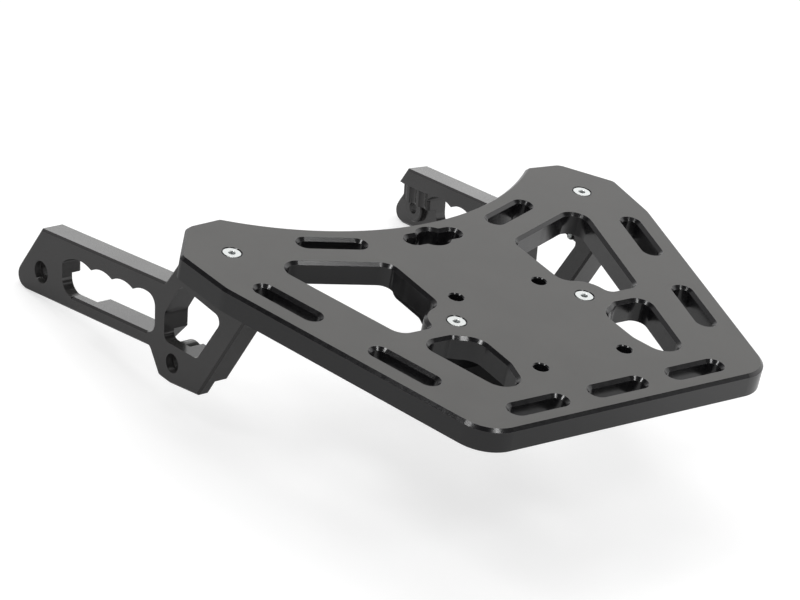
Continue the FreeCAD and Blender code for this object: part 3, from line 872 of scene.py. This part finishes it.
@dataclass
class GrabArm:
    """One grab arm, with two turned bolt seats.

    Attributes:
        side: Side of the bike that the arm is on.
        front_reach: Reach of the relief round the front bolt's axis.
        rear_reach: Reach of the relief round the rear bolt's axis.
    """

    side: Side
    front_reach: float = 7.9 * MM
    rear_reach: float = 6.6 * MM

    def seats(self) -> tuple[BoltSeat, ...]:
        """Bolt seats of this arm, from the mounts that the record gives.

        Returns:
            The front one and the rear one.
        """
        found = []
        for end, reach in ((End.FRONT, self.front_reach), (End.REAR, self.rear_reach)):
            mount = mount_named(f"{self.side.value}_{end.value}_bolt")
            found.append(BoltSeat(tuple(mount["pos_m"]), tuple(mount["axis"]), reach))
        return tuple(found)

    def dress(self) -> bpy.types.Object:
        """Give the arm its finish.

        Returns:
            The arm.
        """
        finish = AnodisedFinish(
            name=f"{self.side.value}_arm_satin_black",
            # Painted light and shade: the deck is lighter than the walls.
            lit_deck_colour=(0.055, 0.0540, 0.0525),
            shaded_wall_colour=(0.0310, 0.0295, 0.0297),
            # Painted highlight along the edges.
            edge_highlight_colour=(0.06, 0.06, 0.06),
            roughness=0.22,
            seats=self.seats(),
        )
        return dress_node(f"{self.side.value}_arm", finish.build())


@dataclass
class CentreBracket:
    """The bracket under the middle of the plate.

    Attributes:
        node: Name of its solid.
        finish: Its finish, nearly black as painted shade under the plate.
    """

    node: str = "centre_bracket"
    finish: AnodisedFinish = AnodisedFinish(
        name="bracket_painted_shade_black",
        # Painted shade: nearly black colours stand in for the shade under the plate.
        lit_deck_colour=(0.008, 0.008, 0.0085),
        shaded_wall_colour=(0.005, 0.005, 0.0055),
        # Painted highlight along the edges.
        edge_highlight_colour=(0.04, 0.04, 0.04),
        roughness=0.50,
        wall_roughness=0.50,
        ior=1.28,
    )

    def dress(self) -> bpy.types.Object:
        """Give the bracket its finish."""
        return dress_node(self.node, self.finish.build())


@dataclass(frozen=True)
class SoftBox:
    """A flat soft lamp that faces a point.

    Attributes:
        name: Name of the lamp.
        place: Its middle.
        target: The point that it faces.
        width: Its width.
        height: Its height.
        power: Its power in watts.
    """

    name: str
    place: Point
    target: Point
    width: float
    height: float
    power: float

    def build(self) -> bpy.types.Object:
        """Hang the lamp.

        Returns:
            The lamp.
        """
        data = bpy.data.lights.new(self.name, "AREA")
        data.shape = "RECTANGLE"
        data.size = self.width
        data.size_y = self.height
        data.energy = self.power
        lamp = bpy.data.objects.new(self.name, data)
        bpy.context.scene.collection.objects.link(lamp)
        lamp.location = self.place
        lamp.rotation_mode = "QUATERNION"
        ahead = Vector(self.target) - Vector(self.place)
        lamp.rotation_quaternion = ahead.to_track_quat("-Z", "Y")
        return lamp


@dataclass
class Studio:
    """Pale floor, white surround, soft lamps and the camera.

    Attributes:
        floor_gap: Gap between the rack's lowest point and the floor.
        floor_half: Half the floor's width.
        floor_squares: Number of squares along one side of the floor.
        floor_albedo: Grey of the paper on the floor.
        floor_glow: Light that the paper adds where the camera sees it.
        floor_mirrored: Light that it adds where the rack mirrors it, left and right.
        floor_turn: Places across, in metres, between which left turns into right.
        fibre_per_metre: Humps of the paper's fibre in a metre.
        fibre_share: Share of the paper's own grey, least and most.
        fibre_dark: How dark the rest of it is.
        ambient: Strength of the surround as a light.
        ceiling: Strength of the surround as a mirror image, level and overhead.
        ceiling_turn: Upward part of the direction between which level turns into overhead.
        left_flag: What that is multiplied by, left and right.
        left_flag_turn: Sideways part of the direction between which left turns into right.
        camera_place: Place of the camera.
        camera_turn: Turn of the camera, as a quaternion.
        focal_length: Focal length in millimetres.
        sensor_width: Width of the sensor in millimetres.
        clip: Nearest and farthest distance that the camera sees.
        lamps: The lamps.
    """

    floor_gap: float = 0.4 * MM
    floor_half: float = 9.0
    floor_squares: int = 8
    floor_albedo: float = 0.50
    floor_glow: float = 0.65
    floor_mirrored: Range = (0.02, 0.42)
    floor_turn: Range = (0.05, 0.30)
    fibre_per_metre: float = 900.0
    fibre_share: Range = (0.985, 1.0)
    fibre_dark: float = 0.98
    ambient: float = 0.55
    ceiling: Range = (1.0, 0.04)
    ceiling_turn: Range = (0.49, 0.61)
    left_flag: Range = (0.30, 1.0)
    left_flag_turn: Range = (-0.20, 0.20)
    camera_place: Point = (-1.13822704, -1.15848621, 0.87477145)
    camera_turn: tuple[float, float, float, float] = (
        0.8308599226, 0.4568738878, -0.2301423339, -0.2190263585)
    focal_length: float = 138.6
    sensor_width: float = 36.0
    clip: Range = (0.05, 60.0)
    lamps: tuple[SoftBox, ...] = (
        SoftBox(name="overhead_box", place=(0.15, 0.25, 1.9), target=(0.0, 0.05, -0.05),
                width=1.3, height=1.3, power=12.0),
        SoftBox(name="left_box", place=(-1.28, 0.18, 1.82), target=(0.0, 0.0, -0.02),
                width=0.36, height=0.36, power=4.4),
        SoftBox(name="rear_box", place=(0.0, -1.27, 1.82), target=(0.0, 0.0, -0.02),
                width=0.36, height=0.36, power=4.4),
        SoftBox(name="far_box", place=(1.50, 2.60, 0.18), target=(0.05, 0.2, -0.05),
                width=1.2, height=0.35, power=0.90),
    )

    def floor(self) -> bpy.types.Object:
        """Lay the floor just under the lowest point of the rack.

        Returns:
            The floor.
        """
        level = CAD_BOX[0][2] - self.floor_gap
        lines = [self.floor_half * (2.0 * step / self.floor_squares - 1.0)
                 for step in range(self.floor_squares + 1)]
        maker = MeshMaker()
        rows = [maker.ring([Vector((x, y, level)) for x in lines]) for y in lines]
        for lower, upper in zip(rows, rows[1:]):
            maker.bridge(lower, upper, closed=False)
        sheet = maker.finish("studio_floor")
        sheet.data.materials.append(self.floor_finish())
        return sheet

    def seen(self, graph: Graph) -> tuple[Socket, Socket]:
        """Where a ray comes straight from the camera or by way of a mirror.

        Args:
            graph: Node tree that gets the nodes.

        Returns:
            Socket that is 1 for camera and transmission rays, and one for glossy rays.
        """
        path = graph.add("ShaderNodeLightPath").outputs
        direct = graph.math("MAXIMUM", path["Is Camera Ray"], path["Is Transmission Ray"])
        return direct, path["Is Glossy Ray"]

    def floor_finish(self) -> bpy.types.Material:
        """White paper that keeps a faint shadow.

        Returns:
            The material of the floor.
        """
        material = new_material("studio_paper")
        tree = material.node_tree
        tree.nodes.remove(tree.nodes["Principled BSDF"])
        graph = Graph(tree)
        place = graph.add("ShaderNodeTexCoord").outputs["Object"]
        light = self.floor_albedo
        dark = light * self.fibre_dark
        fibre = graph.spread(graph.noise(place, self.fibre_per_metre), NOISE_WIDE,
                             self.fibre_share)
        paper = graph.blend(fibre, (dark, dark, dark), (light, light, light))
        direct, glossy = self.seen(graph)
        mirrored = graph.spread(graph.part(place, "X"), self.floor_turn, self.floor_mirrored)
        shown = graph.plus(graph.times(direct, self.floor_glow), graph.times(glossy, mirrored))
        both = graph.add("ShaderNodeAddShader")
        graph.put(both.inputs[0], graph.add("ShaderNodeBsdfDiffuse", None, Color=paper).outputs[0])
        graph.put(both.inputs[1], graph.add("ShaderNodeEmission", None, Strength=shown).outputs[0])
        graph.put(tree.nodes["Material Output"].inputs["Surface"], both.outputs[0])
        return material

    def surround(self) -> None:
        """White surround, darker overhead and on the left where the rack mirrors it."""
        world = bpy.data.worlds.new("studio_surround")
        bpy.context.scene.world = world
        world.use_nodes = True
        graph = Graph(world.node_tree)
        way = graph.add("ShaderNodeTexCoord").outputs["Generated"]
        overhead = graph.spread(graph.part(way, "Z"), self.ceiling_turn, self.ceiling)
        sideways = graph.spread(graph.part(way, "X"), self.left_flag_turn, self.left_flag)
        direct, glossy = self.seen(graph)
        mirrored = graph.times(graph.times(overhead, sideways), glossy)
        behind = graph.plus(graph.times(graph.rest(glossy), self.ambient), mirrored)
        backdrop = world.node_tree.nodes["Background"]
        backdrop.inputs["Color"].default_value = (1.0, 1.0, 1.0, 1.0)
        graph.put(backdrop.inputs["Strength"], graph.math("MAXIMUM", behind, direct))

    def camera(self) -> bpy.types.Object:
        """Set up the camera at the rear left, above the plate.

        Returns:
            The camera.
        """
        data = bpy.data.cameras.new("studio_camera")
        data.sensor_fit = "HORIZONTAL"
        data.sensor_width = self.sensor_width
        data.lens = self.focal_length
        data.clip_start, data.clip_end = self.clip
        view = bpy.data.objects.new("studio_camera", data)
        bpy.context.scene.collection.objects.link(view)
        view.location = self.camera_place
        view.rotation_mode = "QUATERNION"
        view.rotation_quaternion = Quaternion(self.camera_turn)
        bpy.context.scene.camera = view
        return view

    def build(self) -> list[bpy.types.Object]:
        """Build the whole studio.

        Returns:
            Its objects.
        """
        bpy.context.scene.view_settings.view_transform = "Standard"
        self.surround()
        return [self.camera(), self.floor()] + [lamp.build() for lamp in self.lamps]


def around(middle: float, swing: Range) -> Range:
    """The two ends of a swing about a value."""
    return middle + swing[0], middle + swing[1]


def round_the_axis(radius: float, turn: float, height: float) -> Vector:
    """Point at a distance from the upright axis, at an angle and a height."""
    return Vector((radius * math.cos(turn), radius * math.sin(turn), height))


def new_material(name: str) -> bpy.types.Material:
    """Start a material that is made of shader nodes.

    Args:
        name: Name of the material.

    Returns:
        The new material.
    """
    material = bpy.data.materials.new(name)
    material.use_nodes = True
    return material


def mount_named(name: str) -> dict:
    """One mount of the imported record.

    Args:
        name: Name of the mount.

    Returns:
        The mount, with its place and axis.
    """
    for mount in frame["record"]["mounts"]:
        if mount["name"] == name:
            return mount
    raise ValueError(f"the record has no mount {name}")


def dress_node(name: str, finish: bpy.types.Material) -> bpy.types.Object:
    """Put one finish on a carried-over solid.

    Args:
        name: Name of the solid.
        finish: Material that it gets.

    Returns:
        The solid's object.
    """
    solid = frame["nodes"][name]
    if not solid.data.materials:
        solid.data.materials.append(finish)
    for slot in solid.material_slots:
        slot.material = finish
    return solid


def main() -> None:
    """Build and dress the rack piece by piece, then the studio round it."""
    logging.basicConfig(level=logging.INFO, format="%(name)s: %(message)s")
    zinc = ZincFinish().build()
    pieces = [LuggagePlate().dress(), CentreBracket().dress()]
    for side in Side:
        pieces.append(GrabArm(side).dress())
        for end in End:
            pieces.append(CountersunkScrew(f"{end.value}_{side.value}_screw", zinc).build())
    for piece in pieces:
        LOG.info("%s: %d faces", piece.name, len(piece.data.polygons))
    for thing in Studio().build():
        LOG.info("studio: %s", thing.name)


if __name__ == "__main__":
    main()
